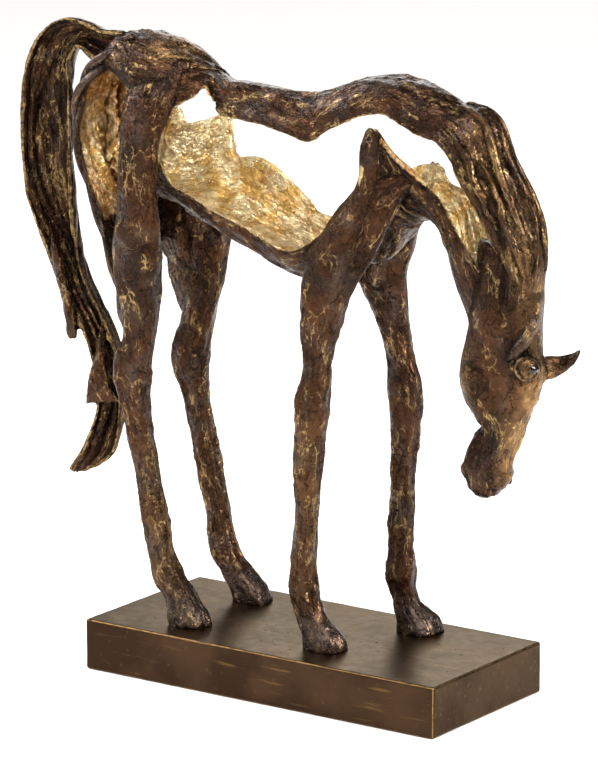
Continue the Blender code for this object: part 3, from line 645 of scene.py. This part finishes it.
for key, values in finish.items():
    share = np.clip(values, 0.0, 1.0).astype("f")
    mesh.attributes.new(key, "FLOAT", "POINT").data.foreach_set("value", share)
mesh.attributes["leaf"].data.foreach_set("value", leaf.astype("f"))
print("relief done")

thin = casting.modifiers.new("Thin", "DECIMATE")
thin.ratio = horse["triangles"] / (2.0 * len(mesh.polygons))
graph = bpy.context.evaluated_depsgraph_get()
mesh = bpy.data.meshes.new_from_object(casting.evaluated_get(graph))
casting.modifiers.clear()
casting.data = mesh
bm = bmesh.new()
bm.from_mesh(mesh)
cut = bmesh.ops.bisect_plane(bm, geom=bm.verts[:] + bm.edges[:] + bm.faces[:], dist=1e-7,
                             plane_co=(0, 0, plinthTop * mm), plane_no=(0, 0, -1), clear_outer=True)
bmesh.ops.holes_fill(bm, edges=[e for e in cut["geom_cut"] if isinstance(e, bmesh.types.BMEdge)], sides=0)
bmesh.ops.triangulate(bm, faces=[f for f in bm.faces if len(f.verts) > 4])
bm.to_mesh(mesh)
bm.free()
mesh.shade_smooth()
print("casting done,", len(mesh.polygons), "faces")


# Cast bronze under waxed brown patina: a dark, warm metal with short broken gold lines where its crust is
# rubbed, and gold leaf in the hollows, straw over crumpled ground with paler patches painted as highlights,
# amber where it is lacquered
def bronzeMaterial():
    material = bpy.data.materials.new("patinatedBronzeWithGoldLeaf")
    material.use_nodes = True
    tree = material.node_tree
    shader = tree.nodes["Principled BSDF"]
    add = partial(addNode, tree)
    shade = {name: hexColour(code) for name, code in horse.items() if isinstance(code, str)}

    worn, deep, gilded, amber, greyed, leaf, rim, strand, eye = (
        add("Attribute", {"attribute_name": name}, out="Fac") for name in (
            "worn", "deep", "gilded", "amber", "greyed", "leaf", "rim", "strand", "eye"))
    lie = add("Attribute", {"attribute_name": "lie"}, out="Vector")
    metres = add("TexCoord", {}, out="Object")
    here = add("VectorMath", {"operation": "SCALE"}, {0: metres, "Scale": 1.0 / mm})
    hair, streak, dash = (add("VectorMath", times, (lie, (1.0, 1.0, along))) for along in (0.16, 0.36, 0.4))
    # clouds over the metal and streaks along its grain: vector, size in millimetres, detail, distortion
    tone, greyAndSheenCloud, waxed, leafHighlightCloud, ochre, broken, sheen, fine, fibre, stretches, dashes = (
        add("TexNoise", {}, {"Vector": vector, "Scale": 1.0 / size, "Detail": detail, "Distortion": twist})
        for vector, size, detail, twist in (
            (here, 30.0, 3.0, 0.0), (here, 22.0, 2.0, 0.0), (here, 10.0, 2.0, 0.0), (here, 14.0, 3.0, 0.0),
            (here, 9.0, 3.0, 0.5), (here, 3.4, 2.0, 0.0), (here, 2.6, 2.0, 0.0), (here, 1.2, 2.0, 0.0),
            (hair, 2.2, 3.0, 0.5), (streak, 9.0, 3.5, 0.0), (dash, 2.2, 2.0, 0.0)))
    swirl = add("TexNoise", {}, {"Vector": here, "Scale": 1.0 / 6.0, "Detail": 3.0}, "Color")
    wander = add("VectorMath", times, (swirl, (horse["wander"],) * 3))

    def planed(stretch, size, slope):
        # cells pressed flat with a knife, each with its own tilt: height is (point - centre) . tilt x slope;
        # also gives how far the crest round the cell is
        vector = add("VectorMath", timesPlus, (lie, (1.0, 1.0, stretch), wander))
        pattern = {"Vector": vector, "Scale": 1.0 / size}
        cells = add("TexVoronoi", {"feature": "F1"}, pattern).node
        crest = add("TexVoronoi", {"feature": "DISTANCE_TO_EDGE"}, pattern)
        away = add("VectorMath", minus, (vector, cells.outputs["Position"]))
        tilt = add("VectorMath", minus, (cells.outputs["Color"], (0.5, 0.5, 0.5)))
        lift = add("VectorMath", {"operation": "DOT_PRODUCT"}, (away, tilt), "Value")
        return add("Math", times, (lift, slope)), add("Math", times, (crest, size))

    wide, wideGap = planed(0.32, horse["widePlane"], 0.5)
    small, smallGap = planed(0.34, horse["smallPlane"], 0.46)

    # crests between the knife planes: rubbed gold in dashes and stretches, dark cracks elsewhere
    rub = add("Math", timesPlus, (worn, 0.2, add("Math", timesPlus, (gilded, 0.05, stretches))))
    wideReach = add("MapRange", eased, (rub, 0.46, 0.7, 0.36, 0.5))
    wideLine = add("MapRange", eased, (wideGap, 0.0, wideReach, 1.0, 0.0))
    wideGold = add("Math", times, (wideLine, add("MapRange", eased, (rub, 0.51, 0.64, 0.0, 0.75))))
    smallReach = add("MapRange", eased, (rub, 0.5, 0.75, 0.26, 0.36))
    smallLine = add("MapRange", eased, (smallGap, 0.0, smallReach, 1.0, 0.0))
    smallGold = add("Math", times, (smallLine, add("MapRange", eased, (rub, 0.58, 0.75, 0.0, 0.75))))
    dashed = add("MapRange", eased, (dashes, 0.4, 0.55, 0.25, 1.0))
    scratches = add("Math", times, (add("Math", larger, (wideGold, smallGold)), dashed))
    cracks = add("Math", larger, (wideLine, add("Math", times, (smallLine, 0.8))))
    crack = add("Math", times, (cracks, add("MapRange", eased, (rub, 0.53, 0.47))))

    # rubbed gold: also fine strokes along the hair, the highest places and the rims of the walls
    midFibre = add("Math", {"operation": "ABSOLUTE"}, (add("Math", minus, (fibre, 0.56)),))
    hairRub = add("Math", times, (strand, add("MapRange", eased, (rub, 0.5, 0.7))))
    strokes = add("Math", times, (add("MapRange", eased, (midFibre, 0.006, 0.024, 0.8, 0.0)), hairRub))
    rubbed = add("MapRange", eased, (add("Math", plus, (broken, worn)), 1.25, 1.7, 0.0, 0.6))
    brokenRim = add("MapRange", eased, (broken, 0.42, 0.55, 0.15, 0.8))
    lip = add("Math", times, (add("MapRange", eased, (rim, 0.72, 0.9)), brokenRim))
    gold = scratches
    for more in (strokes, rubbed, lip):
        gold = add("Math", larger, (gold, more))
    gold = add("Math", times, (gold, add("MapRange", eased, (greyed, 0.0, 1.0, 0.72, 0.25))))
    gild = add("Math", times, (gilded, add("MapRange", eased, (waxed, 0.3, 0.62, 0.35, 0.95))))

    # patina: chocolate to red brown, purple grey where the wax is thick and partly as a painted sheen, near
    # black in the hollows as patina and as painted shade
    skin = shade["brown"]
    for amount, over in (
            (add("MapRange", eased, (tone, 0.3, 0.7)), "redBrown"),
            # purple grey patches at random: partly wax, partly a painted sheen
            (add("MapRange", eased, (greyAndSheenCloud, 0.5, 0.72, 0.0, 0.5)), "greyBrownAndSheen"),
            (add("Math", times, (greyed, 0.75)), "greyWaxAndSheen"),
            (gild, "goldenWax"),
            (add("Math", times, (add("Math", larger, (deep, crack)), 0.85)), "hollowPatinaAndShade"),
            (gold, "rubbedGold")):
        skin = add("Mix", colours, {0: amount, 6: skin, 7: shade[over]}, 2)

    # leaf: straw gold, paler in patches at random as painted highlights, amber where lacquered, brown in its
    # cracks, darker in the hollows partly as painted shade
    straw = shade["straw"]
    for amount, over in (
            (add("MapRange", eased, (leafHighlightCloud, 0.36, 0.58)), "paintedLeafHighlight"),
            (add("MapRange", eased, (ochre, 0.54, 0.68, 0.0, 0.5)), "ochreLeaf"),
            (add("Math", times, (amber, add("MapRange", eased, (broken, 0.25, 0.6, 1.0, 0.55)))), "lacquer"),
            (add("MapRange", eased, (fibre, 0.45, 0.33, 0.0, 0.7)), "leafFibre"),
            (add("Math", times, (wideLine, add("MapRange", eased, (rub, 0.56, 0.5, 0.0, 0.5)))), "leafCrack"),
            (add("Math", times, (deep, 0.75)), "leafHollowAndShade")):
        straw = add("Mix", colours, {0: amount, 6: straw, 7: shade[over]}, 2)
    laid = add("MapRange", eased, (add("Math", timesPlus, (broken, 0.5, leaf)), 0.66, 0.84))
    colour = add("Mix", colours, {0: laid, 6: skin, 7: straw}, 2)

    # wax and patina dull the metal a little, the size under the leaf dulls it more; the eye is wet and smooth
    bare = add("MapRange", eased, (add("Math", larger, (gold, gild)), 0.0, 0.8, 0.9, 1.0))
    satin = add("MapRange", eased, (sheen, 0.3, 0.7, 0.24, 0.4))

    # relief finer than the mesh: knife planes, grit, a break in the leaf, raised rubbing, cracks and fibres
    besideHair = add("MapRange", eased, (strand, 0.0, 1.0, 1.0, 0.45))
    rise = add("Math", times, (add("Math", plus, (wide, small)), besideHair))
    breaks = add("MapRange", eased, (leaf, 0.2, 0.8, 0.42, 0.2))
    for pattern, amount in (
            (fine, 0.12), (broken, breaks), (gold, 0.18), (crack, -0.5),
            (fibre, add("Math", larger, (strand, leaf)))):
        rise = add("Math", timesPlus, (pattern, amount, rise))
    strength = add("MapRange", eased, (eye, 0.2, 0.8, 1.0, 0.0))

    for name, value in {
            "Base Color": add("Mix", colours, {0: eye, 6: colour, 7: shade["eye"]}, 2),
            "Metallic": add("Math", timesPlus, (laid, add("Math", minus, (0.62, bare)), bare)),
            "Roughness": add("Mix", {}, {0: eye, 2: satin, 3: 0.06}),
            "Coat Weight": eye,
            "Normal": add("Bump", {}, {"Height": rise, "Strength": strength, "Distance": mm})}.items():
        tree.links.new(value, shader.inputs[name])
    shader.inputs["Coat Roughness"].default_value = 0.06
    return material


casting.data.materials.clear()
casting.data.materials.append(bronzeMaterial())
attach(casting, "root")
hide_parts("horse")

plinth = {
    "corner": 2.2, "step": 2.0, "wave": 0.12, "edgeWear": 0.25, "pitSpacing": 8.5, "pit": 1.0,
    "brown": "#33241a", "redBrown": "#433123", "brushedGold": "#8a6a3c", "edgeGold": "#c8a060",
    # the pit colours are a painted highlight round each pit and painted shade inside it
    "pitPaintedHighlight": "#a08254", "pitPaintedShade": "#1c140d", "glint": "#f2ece0",
}


def roundedBox(low, high, corner, step):
    # each of six grids is pulled to one distance, the corner radius, from a box that is smaller by it
    centre, half = (low + high) / 2.0, (high - low) / 2.0
    bend = corner * np.tan(np.linspace(0.25, 1.0, 4) * math.pi / 4.0)
    points, faces, count = [], [], 0
    for axis in range(3):
        u, v = (axis + 1) % 3, (axis + 2) % 3
        lines = []
        for flat in half[[u, v]] - corner:
            middle = np.linspace(-flat, flat, int(2 * flat / step) + 1)
            lines.append(np.concatenate([-flat - bend[::-1], middle, flat + bend]))
        for side in (-1.0, 1.0):
            a, b = np.meshgrid(lines[0], lines[1][::int(side)], indexing="ij")
            grid = np.empty(a.shape + (3,))
            grid[..., axis], grid[..., u], grid[..., v] = side * half[axis], a, b
            core = np.clip(grid, corner - half, half - corner)
            grid = core + corner * unit(grid - core)
            number = np.arange(a.size).reshape(a.shape) + count
            quads = np.stack([number[:-1, :-1], number[1:, :-1], number[1:, 1:], number[:-1, 1:]], axis=-1)
            points.append(grid.reshape(-1, 3) + centre)
            faces.append(quads.reshape(-1, 4))
            count += a.size
    return np.concatenate(points), np.concatenate(faces)


points, faces = roundedBox(plinthLow, plinthHigh, plinth["corner"], plinth["step"])
mesh = bpy.data.meshes.new("plinthBlock")
mesh.from_pydata(points * mm, [], faces)
block = bpy.data.objects.new("plinthBlock", mesh)
bpy.context.scene.collection.objects.link(block)
bm = bmesh.new()
bm.from_mesh(mesh)
bmesh.ops.remove_doubles(bm, verts=bm.verts, dist=1e-6)
bmesh.ops.recalc_face_normals(bm, faces=bm.faces)
bm.to_mesh(mesh)
bm.free()
mesh.shade_smooth()

# The faces wave a little as cast; how near a point is to an edge says where the patina is rubbed through
place = readMesh(mesh, "vertices", 3, "co") / mm
normal = readMesh(mesh, "vertex_normals", 3, "vector")
inward = np.sort(np.minimum(place - plinthLow, plinthHigh - place), axis=1)[:, 1]
away = smoothStep(0.0, 12.0, inward)
wave = plinth["wave"] * away * cloudNoise(place, 34.0, 11)
wear = plinth["edgeWear"] * (1.0 - away) * cloudNoise(place, 9.0, 12)
place -= normal * (wave + wear)[:, None]
mesh.vertices.foreach_set("co", (place * mm).astype("f").ravel())
mesh.attributes.new("nearEdge", "FLOAT", "POINT").data.foreach_set("value", np.exp(-inward / 1.1).astype("f"))
mesh.update()


# Satin bronze under brown patina: blurred reflections, thin gold edges, faint brushed gold and small pits,
# painted dark inside as shade with a faint painted highlight round each
def plinthMaterial():
    material = bpy.data.materials.new("satinPatinatedBronze")
    material.use_nodes = True
    tree = material.node_tree
    shader = tree.nodes["Principled BSDF"]
    add = partial(addNode, tree)
    shade = {name: hexColour(code) for name, code in plinth.items() if isinstance(code, str)}

    metres = add("TexCoord", {}, out="Object")
    here = add("VectorMath", {"operation": "SCALE"}, {0: metres, "Scale": 1.0 / mm})
    lengthwise = add("VectorMath", times, (here, (0.1, 1.0, 1.0)))
    cloud, brushed, broken = (
        add("TexNoise", {}, {"Vector": vector, "Scale": 1.0 / size, "Detail": detail})
        for vector, size, detail in ((here, 45.0, 4.0), (lengthwise, 4.0, 3.0), (here, 7.0, 3.0)))
    near = add("Attribute", {"attribute_name": "nearEdge"}, out="Fac")
    spacing, size = plinth["pitSpacing"], plinth["pit"]
    cells = add("TexVoronoi", {"feature": "F1"}, {"Vector": here, "Scale": 1.0 / spacing})
    away = add("Math", times, (cells, spacing))
    pit = add("MapRange", eased, (away, 0.5 * size, size, 1.0, 0.0))
    pitRimHighlight = add("Math", minus, (add("MapRange", eased, (away, size, 1.9 * size, 1.0, 0.0)), pit))
    rubbed = add("Math", times, (
        add("MapRange", eased, (near, 0.3, 0.75)), add("MapRange", eased, (broken, 0.34, 0.56, 0.35, 1.0))))

    brown = shade["brown"]
    for amount, over in (
            (add("MapRange", eased, (cloud, 0.36, 0.64)), "redBrown"),
            (add("MapRange", eased, (brushed, 0.6, 0.75, 0.0, 0.3)), "brushedGold"),
            (rubbed, "edgeGold"),
            # pits: a painted highlight on the rim and painted shade inside
            (add("Math", times, (pitRimHighlight, 0.05)), "pitPaintedHighlight"),
            (add("Math", times, (pit, 0.85)), "pitPaintedShade")):
        brown = add("Mix", colours, {0: amount, 6: brown, 7: shade[over]}, 2)
    rise = add("Math", timesPlus, (pit, -0.6, add("Math", times, (broken, 0.2))))
    for name, value in {
            "Base Color": brown,
            "Metallic": add("Math", minus, (1.0, pit)),
            "Specular IOR Level": add("MapRange", eased, (pit, 0.0, 1.0, 0.5, 0.0)),
            "Roughness": add("MapRange", eased, (broken, 0.3, 0.7, 0.33, 0.4)),
            "Normal": add("Bump", {}, {"Height": rise, "Strength": 0.8, "Distance": mm})}.items():
        tree.links.new(value, shader.inputs[name])
    shader.inputs["Specular Tint"].default_value = shade["glint"]
    return material


mesh.materials.append(plinthMaterial())
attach(block, "root")
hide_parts("plinth")
print("plinth done,", len(mesh.polygons), "faces")

# Room: a floor of matt white paper, which takes soft shadows and no gloss, soft lamps and the camera
floorHalf = 30.0  # metres
floorCorners = [(x * floorHalf, y * floorHalf, 0.0) for x, y in ((-1, -1), (1, -1), (1, 1), (-1, 1))]
floorMesh = bpy.data.meshes.new("paleFloor")
floorMesh.from_pydata(floorCorners, [], [(0, 1, 2, 3)])
paleFloor = bpy.data.objects.new("paleFloor", floorMesh)
bpy.context.scene.collection.objects.link(paleFloor)
floorMaterial = bpy.data.materials.new("mattWhitePaper")
floorMaterial.use_nodes = True
paper = floorMaterial.node_tree.nodes["Principled BSDF"].inputs
paper["Base Color"].default_value = hexColour("#f4f2ef")
paper["Roughness"].default_value = 0.9
floorMesh.materials.append(floorMaterial)

world = bpy.data.worlds.new("softWhiteRoom")
bpy.context.scene.world = world
bpy.context.scene.view_settings.view_transform = "Standard"  # keeps the pale room white and the patina deep
world.use_nodes = True
background = world.node_tree.nodes["Background"].inputs
background["Color"].default_value = hexColour("#ffffff")
background["Strength"].default_value = 0.14


def standOff(thing, azimuth, elevation, distance, aim):
    # stands back from its aim by a distance, round by the azimuth and up by the elevation, and looks at it
    a, e = math.radians(azimuth), math.radians(elevation)
    back = Vector((math.sin(a) * math.cos(e), -math.cos(a) * math.cos(e), math.sin(e)))
    thing.location = Vector(aim) + back * distance
    thing.rotation_euler = back.to_track_quat("Z", "Y").to_euler()
    bpy.context.scene.collection.objects.link(thing)


# Lamps: name, kind, azimuth, elevation, power, and the width of the pane or the angle of the sun
lamps = []
for name, kind, azimuth, elevation, power, size in (
        ("keyLamp", "AREA", 98, 26, 50.0, 0.8), ("leftLamp", "AREA", -88, 34, 30.0, 1.2),
        ("openingLamp", "AREA", -38, 22, 12.0, 0.5), ("backLamp", "AREA", 207, 24, 12.0, 1.1),
        ("wideLamp", "SUN", 25, 56, 3.4, 1.0)):
    lamp = bpy.data.lights.new(name, kind)
    lamp.energy = power
    setattr(lamp, "size" if kind == "AREA" else "angle", size)
    lamps.append(bpy.data.objects.new(name, lamp))
    standOff(lamps[-1], azimuth, elevation, 2.0, (0.0, 0.0, 0.26))

cameraData = bpy.data.cameras.new("photoCamera")
cameraData.lens, cameraData.sensor_width = 237.15, 36.0
photoCamera = bpy.data.objects.new("photoCamera", cameraData)
standOff(photoCamera, 34.913, 13.431, 3.6761, (-0.01140, 0.0, 0.22854))
bpy.context.scene.camera = photoCamera
